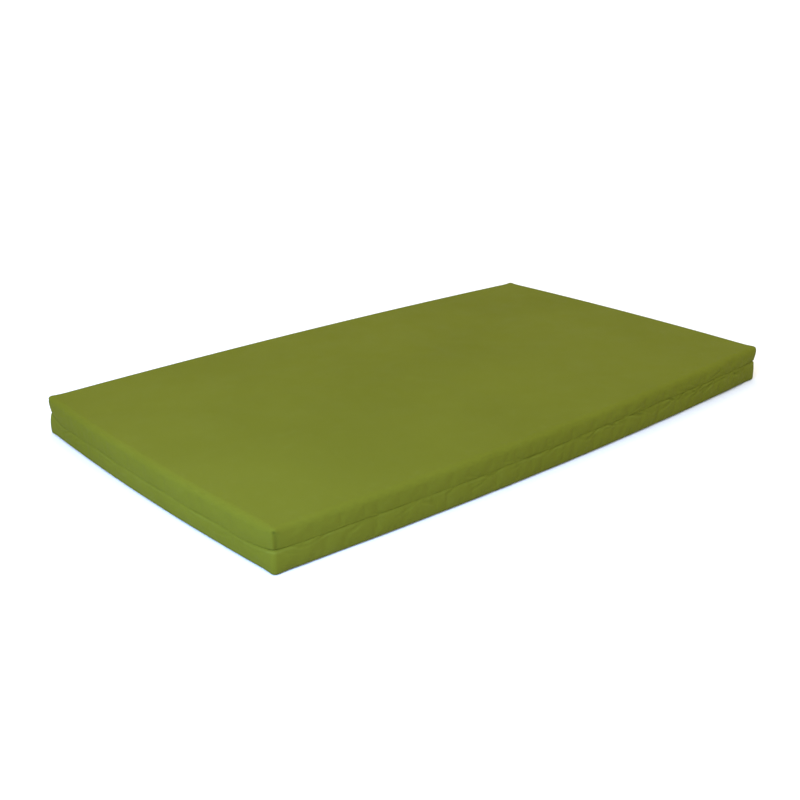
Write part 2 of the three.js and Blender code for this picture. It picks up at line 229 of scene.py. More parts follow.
def coated_fabric():
    """The cover: green woven polyester with a matt coating, with painted shade in its folds and painted
    highlights on their ridges.
    """
    nodes = Nodes("coated_green_fabric")
    base = rgba(0.116, 0.124, 0.0105)
    pale = rgba(0.125, 0.134, 0.0120)
    scuffed = rgba(0.18, 0.20, 0.04)
    between_threads = rgba(0.060, 0.068, 0.004)
    dusty = rgba(0.095, 0.100, 0.022)
    painted_fold_shade = rgba(0.037, 0.050, 0.005)
    painted_ridge_highlight = rgba(0.185, 0.215, 0.034)
    cloud = nodes.remap(nodes.noise(2.6, 3, 0.55), 0.35, 0.65, 0, 1)
    colour = nodes.mix(cloud, base, pale)
    scuffs = nodes.remap(nodes.noise(22, 5, 0.7, 0.6), 0.56, 0.74, 0, 0.12)
    colour = nodes.mix(scuffs, colour, scuffed)
    threads = weave(nodes, 1.5 * MM)
    colour = nodes.mix(nodes.remap(threads, 1, -1, 0, 0.32), colour, between_threads)
    height = nodes.axes()[2]
    low = nodes.remap(height, 0.0, 0.016, 0.35, 0)
    dust = nodes.math("MULTIPLY", low, nodes.remap(nodes.noise(60, 4), 0.4, 0.7, 0, 1), clamp=True)
    colour = nodes.mix(dust, colour, dusty)
    # painted shade darkens the folds, seams and hem, and painted highlight lightens the folds' ridges and the
    # lower lip
    painted_shading = nodes.attribute("painted_shading")
    colour = nodes.mix(nodes.remap(painted_shading, 0, 1, 0, 0.5), colour, painted_fold_shade)
    colour = nodes.mix(nodes.remap(painted_shading, 0, -1, 0, 0.4), colour, painted_ridge_highlight)
    roughness = nodes.remap(nodes.noise(9, 4, 0.6), 0.3, 0.7, 0.52, 0.64)
    ripples = nodes.bump(nodes.noise(14, 3, 0.5), 1.2 * MM, 0.35)
    grain = nodes.bump(nodes.noise(700, 2, 0.6), 0.08 * MM, 0.6, ripples)
    normal = nodes.bump(threads, 0.10 * MM, 0.8, grain)
    return nodes.finish(colour, roughness, normal, Specular_IOR_Level=0.01)


def woven_tape():
    """The zip's tapes: a matt herringbone twill."""
    nodes = Nodes("woven_tape")
    x, _, z = nodes.axes()
    rib = nodes.math("SINE", nodes.math("MULTIPLY", nodes.math("ADD", x, z), 2 * math.pi / (1.1 * MM)))
    fold = nodes.math("SINE", nodes.math("MULTIPLY", nodes.math("SUBTRACT", x, z), 2 * math.pi / (2.2 * MM)))
    height = nodes.math("MULTIPLY", rib, nodes.math("ADD", 1.2, fold))
    shade = nodes.remap(height, -2, 2, 0, 1)
    colour = nodes.mix(shade, rgba(0.075, 0.098, 0.012), rgba(0.125, 0.155, 0.026))
    fuzz = nodes.bump(nodes.noise(2200, 2), 0.05 * MM, 0.5)
    return nodes.finish(colour, 0.85, nodes.bump(height, 0.08 * MM, 0.7, fuzz), Sheen_Weight=0.2)


def coil_plastic():
    """The zip's teeth: moulded nylon."""
    nodes = Nodes("coil_nylon")
    tone = nodes.noise(35, 3)
    colour = nodes.mix(tone, rgba(0.062, 0.085, 0.010), rgba(0.085, 0.112, 0.018))
    roughness = nodes.remap(nodes.noise(400, 3), 0.3, 0.7, 0.3, 0.45)
    return nodes.finish(colour, roughness, nodes.bump(nodes.noise(900, 2), 0.02 * MM, 0.4), Coat_Weight=0.15)


def zip_metal():
    """Slider, tab and stops: nickel-plated zinc, rubbed by use."""
    nodes = Nodes("zip_metal")
    rubbed = nodes.remap(nodes.noise(300, 5, 0.7), 0.4, 0.7, 0, 1)
    colour = nodes.mix(rubbed, rgba(0.50, 0.50, 0.49), rgba(0.70, 0.69, 0.66))
    roughness = nodes.remap(nodes.noise(700, 4, 0.6), 0.3, 0.7, 0.22, 0.42)
    normal = nodes.bump(nodes.noise(1500, 3), 0.02 * MM, 0.5)
    return nodes.finish(colour, roughness, normal, Metallic=1.0)


def thread():
    """Sewing thread: two strands twisted together."""
    nodes = Nodes("sewing_thread")
    x, y, z = nodes.axes()
    along = nodes.math("ADD", nodes.math("ADD", x, y), nodes.math("MULTIPLY", z, 1.5))
    twist = nodes.math("SINE", nodes.math("MULTIPLY", along, 2 * math.pi / (0.5 * MM)))
    colour = nodes.mix(nodes.remap(twist, -1, 1, 0, 1), rgba(0.10, 0.125, 0.014), rgba(0.17, 0.20, 0.03))
    return nodes.finish(colour, 0.6, nodes.bump(twist, 0.08 * MM, 0.8), Sheen_Weight=0.15)


def foam(name, dark, light, cell):
    """Open-cell foam: round cells of about the given size, and a cut face's soft unevenness."""
    nodes = Nodes(name)
    cells = nodes.voronoi(1 / cell)
    colour = nodes.mix(nodes.remap(cells, 0.1, 0.7, 1, 0), dark, light)
    uneven = nodes.bump(nodes.noise(40, 3), 1.0 * MM, 0.4)
    return nodes.finish(colour, 0.95, nodes.bump(cells, 0.5 * MM, 0.8, uneven), Specular_IOR_Level=0.2)


def label_cloth():
    """Care label: blank white satin ribbon."""
    nodes = Nodes("label_satin")
    colour = nodes.mix(nodes.noise(90, 3), rgba(0.80, 0.80, 0.76), rgba(0.88, 0.88, 0.85))
    return nodes.finish(colour, 0.55, nodes.bump(weave(nodes, 0.5 * MM), 0.03 * MM, 0.6), Sheen_Weight=0.1)


def floor_paper():
    """Pale studio paper."""
    nodes = Nodes("studio_paper")
    colour = nodes.mix(nodes.noise(1.5, 2), rgba(0.785, 0.78, 0.765), rgba(0.80, 0.795, 0.78))
    return nodes.finish(colour, 0.9, Specular_IOR_Level=0.0)


# ================================================================ the mat's outline

def corner_reach(off, half_fan, roundness):
    """How far out a rounded corner is, off degrees from its middle, in terms of its sides' distance."""
    centre = (1 - roundness) / math.cos(half_fan)
    tangent = math.atan2(roundness * math.sin(half_fan), centre + roundness * math.cos(half_fan))
    if abs(off) > tangent:
        return 1 / math.cos(half_fan - abs(off))
    return centre * math.cos(off) + math.sqrt(roundness**2 - (centre * math.sin(off)) ** 2)


class Outline:
    """The plan as columns round the mat, anticlockwise from the near left corner, the front side first.

    Every column has a core point, a direction out from it and a reach. The core is the plan drawn in by some
    millimetres, so that all the columns of a corner stand on one core point.
    """

    def __init__(self, long_columns, short_columns, corner_columns, core_inset, corner_radius):
        corner_x, corner_y = HALF_X - SHORT_BOW, HALF_Y - LONG_BOW
        long_radius = (corner_x**2 + LONG_BOW**2) / (2 * LONG_BOW)
        short_radius = (corner_y**2 + SHORT_BOW**2) / (2 * SHORT_BOW)
        x, y = corner_x - core_inset, corner_y - core_inset
        for _ in range(20):  # the core's corner is where its two arcs cross
            y = HALF_Y - long_radius + math.sqrt((long_radius - core_inset) ** 2 - x**2)
            x = HALF_X - short_radius + math.sqrt((short_radius - core_inset) ** 2 - y**2)
        self.core_inset = core_inset
        self.core_corner = (x, y)
        long_turn = math.asin(x / (long_radius - core_inset))
        short_turn = math.asin(y / (short_radius - core_inset))
        sides = 2 * [
            (long_radius, HALF_Y, long_turn, long_columns),
            (short_radius, HALF_X, short_turn, short_columns),
        ]
        half_fan = (math.pi / 2 - long_turn - short_turn) / 2
        core, angle, side, stretch = [], [], [], []
        self.side_start = []
        for k, (radius, extent, turn, count) in enumerate(sides):
            facing = (k - 1) * math.pi / 2
            centre = -(radius - extent) * np.array([math.cos(facing), math.sin(facing)])
            self.side_start.append(len(angle))
            for t in np.linspace(-1, 1, count + 1):
                a = facing + t * turn
                core.append(centre + (radius - core_inset) * np.array([math.cos(a), math.sin(a)]))
                angle.append(a)
                side.append(k)
                stretch.append(1.0)
            for off in np.linspace(-half_fan, half_fan, corner_columns + 1)[1:-1]:
                core.append(core[self.side_start[k] + count])
                angle.append(facing + turn + half_fan + off)
                side.append(k if off < 0 else k + 1)
                stretch.append(corner_reach(off, half_fan, corner_radius / core_inset))
        self.counts = [count for _, _, _, count in sides]
        self.fan = corner_columns - 1
        self.core = np.array(core)
        self.outward = np.stack([np.cos(angle), np.sin(angle)], 1)
        self.stretch = np.array(stretch)
        self.side = np.array(side) % 4
        self.edge = self.core + (core_inset * self.stretch)[:, None] * self.outward
        steps = np.linalg.norm(np.roll(self.edge, -1, 0) - self.edge, axis=1)
        half_corner = steps[-self.fan - 1:].sum() / 2
        self.s = np.concatenate([[0], np.cumsum(steps)[:-1]]) + half_corner
        self.length = steps.sum()
        # signed distance round the outline to the nearest corner's middle
        gaps = np.array([self.gap(self.s, self.s[start] - half_corner) for start in self.side_start])
        self.corner_offset = np.take_along_axis(gaps, np.abs(gaps).argmin(0)[None], 0)[0]
        self.corner_gap = np.abs(self.corner_offset)

    def gap(self, s, middle):
        """Signed distance round the outline from middle to s."""
        return (s - middle + self.length / 2) % self.length - self.length / 2

    def core_columns(self):
        """For each side, its own columns in order: neighbours share the corner's core point."""
        return [np.arange(start, start + count + 1) for start, count in zip(self.side_start, self.counts)]

    def ripple(self, s, z, shortest, longest, waves, seed):
        """A smooth uneven field over the side, from sines that close round the mat."""
        own = np.random.default_rng(seed)
        total = np.zeros(np.broadcast(s, z).shape)
        for _ in range(waves):
            cycles = round(self.length / own.uniform(shortest, longest))
            slope = own.uniform(-1, 1) / longest
            total += np.sin(2 * np.pi * (cycles * s / self.length + slope * z) + own.uniform(0, 2 * np.pi))
        return total / math.sqrt(waves)


class Skin:
    """Collects a mesh's points and faces, and how much shade is painted at each point: from -1, a painted
    highlight on a ridge, to 1, painted shade deep in a fold.
    """

    def __init__(self):
        self.points = []
        self.painted_shadings = []
        self.faces = []
        self.count = 0

    def add(self, points, painted_shading=0.0):
        """Adds a row of points and returns their numbers."""
        points = np.asarray(points, float)
        numbers = np.arange(self.count, self.count + len(points))
        self.points.append(points)
        self.painted_shadings.append(np.broadcast_to(painted_shading, len(points)))
        self.count += len(points)
        return numbers

    def face(self, corners):
        kept = [int(c) for i, c in enumerate(corners) if c != corners[i - 1]]
        if len(kept) > 2:
            self.faces.append(kept)

    def strip(self, upper, lower, closed=True):
        """Faces between two equal rows, facing the reader when upper is above and both run right."""
        count = len(upper)
        for i in range(count if closed else count - 1):
            j = (i + 1) % count
            self.face((upper[i], lower[i], lower[j], upper[j]))

    def wall(self, rows, downwards=True):
        """Strips between rows of points round the mat, which are listed downwards or else upwards."""
        for first, second in zip(rows, rows[1:]):
            if downwards:
                self.strip(first, second)
            else:
                self.strip(second, first)

    def halving(self, outer, inner, facing_up):
        """Five-sided faces between a side's row and the next one in, which has half as many columns."""
        for i in range(len(inner) - 1):
            corners = [outer[2 * i], outer[2 * i + 1], outer[2 * i + 2], inner[i + 1], inner[i]]
            self.face(corners if facing_up else corners[::-1])

    def build(self, name, material=None):
        mesh = bpy.data.meshes.new(name)
        points = np.concatenate(self.points)
        mesh.from_pydata(points.tolist(), [], self.faces)
        mesh.update()
        # the attribute that carries the painted shade and painted highlight to the material
        painted_shading = mesh.attributes.new("painted_shading", "FLOAT", "POINT")
        painted_shading.data.foreach_set("value", np.concatenate(self.painted_shadings).astype(np.float32))
        piece = bpy.data.objects.new(name, mesh)
        bpy.context.scene.collection.objects.link(piece)
        if material:
            mesh.materials.append(material)
        mesh.shade_smooth()
        return piece


def ring(outline, inset, z):
    """One row of points round the mat."""
    reach = (outline.core_inset - inset) * outline.stretch
    xy = outline.core + reach[:, None] * outline.outward
    return np.column_stack([xy, np.broadcast_to(z, len(xy))])


def cap(skin, outline, rim, surface, facing_up, halvings=2):
    """Closes the plan inside a rim of points with a nearly square grid that gets coarser inwards."""
    corner_x, corner_y = outline.core_corner
    sides = outline.core_columns()

    def inner_sides(extra, every):
        """The core drawn in by extra, as the points of four sides that share their corners."""
        shrink = [1 - extra / corner_x, 1 - extra / corner_y]
        return [outline.core[columns[::every]] * shrink for columns in sides]

    def add_sides(rows):
        """Adds four sides' points once each, and gives each side's numbers with both its corners."""
        own = np.concatenate([xy[:-1] for xy in rows])
        numbers = skin.add(np.column_stack([own, surface(own[:, 0], own[:, 1])]))
        starts = np.cumsum([0] + [len(xy) - 1 for xy in rows])
        numbers = np.append(numbers, numbers[0])  # the last side ends where the first one starts
        return [numbers[starts[k]:starts[k + 1] + 1] for k in range(4)]

    core = add_sides(inner_sides(0, 1))
    round_core = np.empty(len(outline.s), int)
    for k, columns in enumerate(sides):
        round_core[columns] = core[k]
        round_core[columns[-1]:columns[-1] + outline.fan + 1] = core[k][-1]
    if facing_up:
        skin.strip(round_core, rim)
    else:
        skin.strip(rim, round_core)
    every, extra = 1, 4 * MM  # one column in so many goes on, and the row is drawn in so far
    previous = core
    for _ in range(halvings):
        every *= 2
        extra += every * COLUMN
        row = add_sides(inner_sides(extra, every))
        for outer, inner in zip(previous, row):
            skin.halving(outer, inner, facing_up)
        previous = row
    front, right, back, left = inner_sides(extra, every)
    front_n, right_n, back_n, left_n = previous
    back, back_n, left, left_n = back[::-1], back_n[::-1], left[::-1], left_n[::-1]
    across, deep = len(front) - 1, len(right) - 1
    u = np.linspace(0, 1, across + 1)[:, None, None]
    v = np.linspace(0, 1, deep + 1)[None, :, None]
    grid = (1 - v) * front[:, None] + v * back[:, None] + (1 - u) * left[None] + u * right[None]
    grid -= (1 - u) * (1 - v) * front[0] + u * (1 - v) * front[-1] + (1 - u) * v * back[0] + u * v * back[-1]
    inside = grid[1:-1, 1:-1].reshape(-1, 2)
    inside = np.column_stack([inside, surface(inside[:, 0], inside[:, 1])])
    numbers = np.empty((across + 1, deep + 1), int)
    numbers[1:-1, 1:-1] = skin.add(inside).reshape(across - 1, deep - 1)
    numbers[:, 0], numbers[:, -1], numbers[0], numbers[-1] = front_n, back_n, left_n, right_n
    for i in range(across):
        for j in range(deep):
            corners = (numbers[i, j], numbers[i + 1, j], numbers[i + 1, j + 1], numbers[i, j + 1])
            skin.face(corners if facing_up else corners[::-1])


# ================================================================ the cover

FRONT, RIGHT, BACK, LEFT = range(4)


def smooth_step(value, low, high):
    t = np.clip((value - low) / (high - low), 0, 1)
    return t * t * (3 - 2 * t)


def bell(value, width):
    return np.exp(-((value / width) ** 2))


def evened(values, times):
    """The columns' values with the steps between them smoothed out, round the mat."""
    for _ in range(times):
        values = (np.roll(values, 1) + values * 2 + np.roll(values, -1)) / 4
    return values


def zip_share(outline, low, high):
    """1 where the cover is open for the zip and 0 where it is sewn, with a change from low to high in x."""
    return np.where(outline.side == BACK, 1 - smooth_step(np.abs(outline.edge[:, 0]), low, high), 0)


def seam_height(outline):
    """The seam sags on the short sides, climbs along the front, and is pulled up at the corners."""
    gap = outline.corner_gap
    right = (outline.edge[:, 0] + HALF_X) / (2 * HALF_X)  # 0 at the left end and 1 at the right one
    long_side = 57 * MM + 6 * MM * smooth_step(right, 0.3, 0.65) - 2 * MM * smooth_step(right, 0.75, 1)
    sag = 3.5 * MM * bell(gap - 100 * MM, 60 * MM)
    pull = 10 * MM * np.exp(-gap / (28 * MM))
    short_side = 50 * MM - sag + pull
    height = evened(np.where(np.isin(outline.side, (FRONT, BACK)), long_side, short_side), 20)
    height += 0.7 * MM * outline.ripple(outline.s, 0.0, 0.12, 0.5, 6, 3)
    zipped = zip_share(outline, ZIP_OPENING, HALF_X - 20 * MM)
    return height * (1 - zipped) + ZIP_Z * zipped


def slack(outline):
    """How loose the cover is, from 0 to 1: tight on the left, looser to the right along the front."""
    x, y = outline.edge[:, 0] / HALF_X, outline.edge[:, 1] / HALF_Y
    front = 0.5 + 0.5 * smooth_step(x, -0.7, 0.8)
    share = {FRONT: front, RIGHT: 0.7 + 0 * x, BACK: 0.35 + 0 * x, LEFT: 0.22 + 0.1 * smooth_step(y, 0, 1)}
    return evened(np.select([outline.side == k for k in share], list(share.values())), 60)


def folds(outline, s, z, seam, loose, upward):
    """Oblique folds by the seam, where the stitching gathers the cloth: each a valley with a ridge by it."""
    own = np.random.default_rng(17 if upward else 12)
    field = np.zeros(z.shape)
    place = 0.02
    while place < outline.length:
        here = np.interp(place, outline.s, loose)
        place += own.uniform(0.25, 1.6) * (75 if upward else 42) * MM / (0.25 + here)
        slope = math.tan(math.radians(own.uniform(3, 24))) * own.choice([-1, 1], p=[0.35, 0.65])
        half_length = own.uniform(14, 42) * MM
        width = own.uniform(2.2, 4.4) * MM
        away = own.uniform(1, 15) * MM * (1 if upward else -1)
        size = own.uniform(0.3, 1.0) * (1.4 if upward else 2.3) * MM * (0.15 + here)
        near = np.abs(outline.gap(outline.s, place)) < 3 * half_length
        if not near.any():
            continue
        along = outline.gap(s[:, near], place)
        rise = z[:, near] - seam[near] - away - slope * along * bell(along, 2 * half_length)
        fold = 0.8 * bell(rise + 1.3 * width, width) - bell(rise, width)
        field[:, near] += size * bell(along, half_length) * fold
    return field


def corner_seam(outline, z, seam):
    """The sewn upright seam at each upper corner: a ridge, a valley beside it and a small pit at its top.

    Gives how far it stands out, and how much shade is painted on it, in its valley and its pit.
    """
    offset = outline.corner_offset[None, :]
    reach = smooth_step(z, seam - 2 * MM, seam + 4 * MM)
    reach = reach * (1 - smooth_step(z, HEIGHT - 14 * MM, HEIGHT - 6 * MM))
    ridge = 0.8 * MM * bell(offset + 1.5 * MM, 3.4 * MM)
    valley = 2.1 * MM * bell(offset - 7 * MM, 6 * MM)
    pit = bell(offset - 1.5 * MM, 3.4 * MM) * bell(z - (HEIGHT - 9.5 * MM), 3.4 * MM)
    # painted shade in the valley beside the ridge and in the pit
    painted_shading = 0.42 * bell(offset - 7 * MM, 8 * MM) * reach + 0.9 * pit
    return (ridge - valley) * reach - 2.7 * MM * pit, painted_shading


def billow(outline, inset, z, upward):
    """How far slack cloth over the foam stands out, from a cloth simulation of one half's bare side.

    The side is a band held along the seam and along the rim, cut a little too large for the space between
    them, and pushed out by a light pressure. It is coarser than the cover, and its result is read off for
    every point.
    """
    columns = [0]
    for k in range(1, len(outline.s)):
        if outline.s[k] - outline.s[columns[-1]] > SIM_STEP:
            columns.append(k)
    rows = np.unique(np.linspace(5, len(z) - 3, SIM_ROWS).round().astype(int))
    skin = Skin()
    start = np.array([ring(outline, inset[row], z[row])[columns] for row in rows])
    numbers = [skin.add(points) for points in start]
    skin.wall(numbers, upward)
    band = skin.build("side_band")
    held = band.vertex_groups.new(name="held")
    held.add([int(n) for row in (numbers[0], numbers[-1]) for n in row], 1.0, "REPLACE")
    cloth = band.modifiers.new("cloth", "CLOTH")
    cloth.settings.quality = 6
    cloth.settings.vertex_group_mass = "held"
    cloth.settings.shrink_min = -0.006
    cloth.settings.bending_stiffness = 3
    cloth.settings.use_pressure = True
    cloth.settings.uniform_pressure_force = 4
    cloth.settings.effector_weights.gravity = 0
    cloth.point_cache.frame_end = SIM_FRAMES
    for number in range(1, SIM_FRAMES + 1):
        bpy.context.scene.frame_set(number)
    settled = band.evaluated_get(bpy.context.evaluated_depsgraph_get()).to_mesh()
    end = np.empty(start.size)
    settled.vertices.foreach_get("co", end)
    moved = end.reshape(start.shape) - start
    bpy.data.objects.remove(band)
    bpy.context.scene.frame_set(1)
    outwards = (moved[:, :, :2] * outline.outward[columns]).sum(2)
    outwards = np.clip(outwards, -SIM_CAP, SIM_CAP)
    s = np.append(outline.s[columns], outline.s[0] + outline.length)
    closed = np.column_stack([outwards, outwards[:, 0]])
    across = np.array([np.interp(outline.s, s, row) for row in closed])
    return np.array([np.interp(np.arange(len(z)), rows, column) for column in across.T]).T


def section(face_z, round_, lip, depth, draw_in, upward):
    """Rows of a half's side as inset and z arrays, from the rim of its flat face to the seam's lip."""
    sign = 1 if upward else -1
    rows = []
    for angle in np.linspace(0, math.pi / 2, 10):
        rows.append((round_ * (1 - math.sin(angle)), face_z - sign * round_ * (1 - math.cos(angle))))
    start = face_z - sign * round_
    turn = lip + sign * draw_in
    for t in np.linspace(0, 1, 17 if upward else 15)[1:]:
        rows.append((0 * lip, start + (turn - start) * t))
    for angle in np.linspace(0, math.pi / 2, 8)[1:]:
        rows.append((depth * (1 - math.cos(angle)), lip + sign * draw_in * (1 - math.sin(angle))))
    return np.array([row[0] for row in rows]), np.array([row[1] for row in rows])


def cover_half(outline, name, material, upward):
    """One half of the cover: its flat face, its swollen and puckered side, and its turned-in hem."""
    sign = 1 if upward else -1
    seam = seam_height(outline)
    loose = slack(outline)
    zipped = zip_share(outline, ZIP_OPENING - 2 * MM, ZIP_OPENING + 14 * MM)
    uneven = outline.ripple(outline.s, 0.0, 0.05, 0.26, 14, 5)
    corner = np.exp(-((outline.corner_gap / (32 * MM)) ** 1.5))
    gaping = np.clip(0.25 + 0.45 * uneven + 1.1 * corner, 0, 1.3) * (1 - zipped)
    lip = seam + sign * (ZIP_EDGE * zipped + (0.02 + 0.06 * gaping) * MM)
    sewn_depth = (0.6 + 0.4 * loose + 0.8 * corner + 0.9 * gaping * (0.4 + loose)) * MM
    depth = sewn_depth * (1 - zipped) + 1.1 * MM * zipped
    draw_in = ((2.6 if upward else 6.0) + 2.0 * corner) * MM + 0.7 * MM * uneven * loose
    face_z, round_ = (HEIGHT, TOP_ROUND) if upward else (0.0, BOTTOM_ROUND)
    round_ = round_ * (1 - 0.45 * bell(outline.corner_gap, 24 * MM))
    inset, z = section(face_z, round_, lip, depth, draw_in, upward)
    s = np.broadcast_to(outline.s, z.shape)

    # how far the cloth stands out at each point
    middle = (z - lip) / (face_z - lip)  # 0 at the lip and 1 at the face
    swell = np.sin(np.pi * np.clip(middle, 0, 1)) ** 0.8
    out = (0.8 if upward else 1.3) * MM * swell * (1 - 0.5 * corner)
    for shortest, longest, size, seed in ((0.07, 0.35, 0.95, 7), (0.025, 0.07, 0.2, 8)):
        wave = outline.ripple(s, z, shortest, longest, 14, seed + (10 if upward else 20))
        out = out + size * (0.7 if upward else 1.1) * MM * (0.15 + loose) * wave * swell
    calm = (1 - 0.75 * zipped) * (1 - 0.7 * corner)
    away = smooth_step(np.abs(z - face_z), 0.3 * round_, 1.5 * round_)
    creases = folds(outline, s, z, lip, loose, upward) * calm * away
    out = out + creases
    # painted shade in the folds' valleys and painted highlight on their ridges
    painted_shading = -0.26 * creases / MM
    # painted shade in the seam's crease, except along the zip
    painted_seam_shade_mask = np.exp(-((np.abs(z - lip) / ((3.4 if upward else 1.8) * MM)) ** 1.5))
    painted_shading = painted_shading + painted_seam_shade_mask * (0.04 + 0.2 * gaping) * (1 - zipped)
    if upward:
        seam_shape, seam_painted_shading = corner_seam(outline, z, lip)
        out = out + seam_shape
        painted_shading = painted_shading + seam_painted_shading
    else:
        # painted highlight on a band of the lower half just under the seam's lip
        painted_lip_highlight = bell(lip - z - 5 * MM, 2.4 * MM)
        painted_shading = painted_shading - 0.35 * painted_lip_highlight * (0.3 + gaping) * (1 - zipped)
        # a second, softer line where the seam allowance presses through from inside: a shallow groove with
        # painted shade in it
        shows = smooth_step(outline.ripple(outline.s, 0.0, 0.05, 0.2, 9, 9), 0.2, 1.2)
        line = bell(lip - z - 9.5 * MM, 1.6 * MM) * shows * (1 - zipped) * (0.3 + loose)
        out = out - 0.9 * MM * line
        painted_shading = painted_shading + 0.3 * line
    waist = bell(outline.corner_gap, 48 * MM) * bell(z - lip, 19 * MM)
    out = out - (UPPER_WAIST if upward else LOWER_WAIST) * waist * (1 - zipped)
    inset = inset - out * smooth_step(np.abs(z - face_z), 0.0, 5 * MM)

    inset = inset - (0.3 + 0.6 * loose) * billow(outline, inset, z, upward)

    skin = Skin()
    face = top_surface if upward else bottom_surface
    numbers = []
    for inset_row, z_row, painted_shading_row in zip(inset, z, np.clip(painted_shading, -1, 1)):
        points = ring(outline, inset_row, z_row)
        rise = face(points[:, 0], points[:, 1]) - face_z
        points[:, 2] += rise * (1 - smooth_step(np.abs(z_row - face_z), 0, round_))
        numbers.append(skin.add(points, painted_shading_row))
    # the turned-in hem: straight in where the cover is sewn, folded back behind the edge along the zip, with
    # full painted shade on all its points
    for step in (0.35, 0.7, 1.0):
        hem_inset = inset[-1] + HEM * (1 - zipped) * step + 1.2 * MM * zipped * min(1, 2 * step)
        hem_z = z[-1] + sign * (0.05 * (1 - zipped) * step + (9 * step - 2.2) * zipped * (step > 0.4)) * MM
        numbers.append(skin.add(ring(outline, hem_inset, hem_z), 1.0))
    skin.wall(numbers, upward)
    cap(skin, outline, numbers[0], face, upward)
    return skin.build(name, material)


def top_surface(x, y):
    """The landing face: almost flat, crowned a little, with the faint waves of foam under cloth."""
    u, v = np.clip(np.abs(x) / HALF_X, 0, 1), np.clip(np.abs(y) / HALF_Y, 0, 1)
    crown = (1 - u**4) * (1 - v**4)
    waves = np.sin(7.3 * x + 2.1 * y + 0.4) + 0.7 * np.sin(-4.1 * x + 9.7 * y + 1.9)
    waves = waves + 0.5 * np.sin(15 * x + 6 * y)
    return HEIGHT - TOP_CROWN + (TOP_CROWN + 0.25 * MM * waves) * crown


def bottom_surface(x, y):
    """The face on the floor, which is flat."""
    return 0.0 * x


# ================================================================ foam

def foam_slab(name, material, rows, outline):
    """A foam layer from its section's [inset, z] rows, which go down from its top face to its bottom one."""
    skin = Skin()
    numbers = []
    for inset, z in rows:
        wobble = 0.25 * MM * outline.ripple(outline.s, z, 0.05, 0.4, 8, 21)
        numbers.append(skin.add(ring(outline, inset + wobble, z)))
    skin.wall(numbers)
    top, bottom = rows[0][1], rows[-1][1]
    cap(skin, outline, numbers[0], lambda x, y: top + 0 * x, True, halvings=0)
    cap(skin, outline, numbers[-1], lambda x, y: bottom + 0 * x, False, halvings=0)
    return skin.build(name, material)


def quarter(inset, z, round_, upward):
    """A foam edge's quarter round as [inset, z] rows going down."""
    sign = 1 if upward else -1
    rows = []
    for angle in np.linspace(0, math.pi / 2, 5):
        rows.append((inset + round_ * (1 - math.sin(angle)), z - sign * round_ * (1 - math.cos(angle))))
    return rows[::sign]


def foam_layers():
    """The firm layer over the soft one, whose groove leaves room for the hem and for the zip."""
    outline = Outline(76, 42, 8, 34 * MM, 30 * MM)
    side = 3.6 * MM
    low, high = (corner.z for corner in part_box("landing_foam"))
    firm = foam("firm_foam", rgba(0.10, 0.115, 0.125), rgba(0.25, 0.28, 0.30), 1.6 * MM)
    rows = [*quarter(side, high, 14 * MM, True), (side, low + 2 * MM), (side + 1 * MM, low)]
    landing = foam_slab("landing_foam_block", firm, rows, outline)

    low, high = (corner.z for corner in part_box("base_foam"))
    soft = foam("soft_foam", rgba(0.50, 0.44, 0.27), rgba(0.80, 0.74, 0.55), 2.2 * MM)
    # the groove reaches higher above the zip than below it, because the seam climbs along the front
    groove = [(side, 19), (17 * MM, 9), (17 * MM, -5), (side, -15.5)]
    groove = [(inset, ZIP_Z + rise * MM) for inset, rise in groove]
    rows = [(side + 1 * MM, high), (side, high - 2 * MM), *groove, *quarter(side, low, 9 * MM, False)]
    base = foam_slab("base_foam_block", soft, rows, outline)
    return landing, base


# ================================================================ the zip

def zip_point(x, inset, z):
    """A point on the back side's arc and the outward and forward directions there."""
    corner_x = HALF_X - SHORT_BOW
    radius = (corner_x**2 + LONG_BOW**2) / (2 * LONG_BOW)
    turn = math.asin(x / radius)
    outward = Vector((math.sin(turn), math.cos(turn), 0))
    forward = Vector((math.cos(turn), -math.sin(turn), 0))
    point = Vector((0, HALF_Y - radius, 0)) + outward * (radius - inset)
    return Vector((point.x, point.y, z)), outward, forward


def tube(skin, path, radius, sides):
    """A closed tube along a short path, with pinched ends."""
    path = [Vector(p) for p in path]
    rows = []
    for i, point in enumerate(path):
        tangent = (path[min(i + 1, len(path) - 1)] - path[max(i - 1, 0)]).normalized()
        side = tangent.cross(Vector((0.31, 0.22, 0.92))).normalized()
        other = tangent.cross(side)
        size = radius * (0.45 if i in (0, len(path) - 1) else 1)
        turns = np.linspace(0, 2 * math.pi, sides, endpoint=False)
        rows.append(skin.add([point + (side * math.cos(a) + other * math.sin(a)) * size for a in turns]))
    for first, second in zip(rows, rows[1:]):
        skin.strip(second, first)
    skin.face([int(n) for n in rows[0]][::-1])
    skin.face([int(n) for n in rows[-1]])


def coil_row(name, material, up):
    """One row of the zip's teeth: the turns of a flattened nylon coil, hooked past the other row's."""
    skin = Skin()
    head, heel, half = 0.5 * MM, 2.6 * MM, 1.05 * MM
    # along the zip in pitches, away from its middle, and outwards
    loop = [
        (-0.30, heel, -half), (-0.25, head + 0.5 * MM, -half), (-0.1, head, -0.3 * MM),
        (0.1, head, 0.3 * MM), (0.25, head + 0.5 * MM, half), (0.30, heel, half),
    ]
    count = int((COIL_END_X - COIL_START_X - COIL_PITCH) / COIL_PITCH)
    for k in range(count):
        x = COIL_START_X + COIL_PITCH * (k + 0.6 + (0.5 if up > 0 else 0))
        path = []
        for along, rise, out in loop:
            point, outward, forward = zip_point(x, ZIP_INSET, ZIP_Z + up * rise)
            path.append(point + outward * out + forward * (along * COIL_PITCH))
        tube(skin, path, 0.36 * MM, 5)
    return skin.build(name, material)


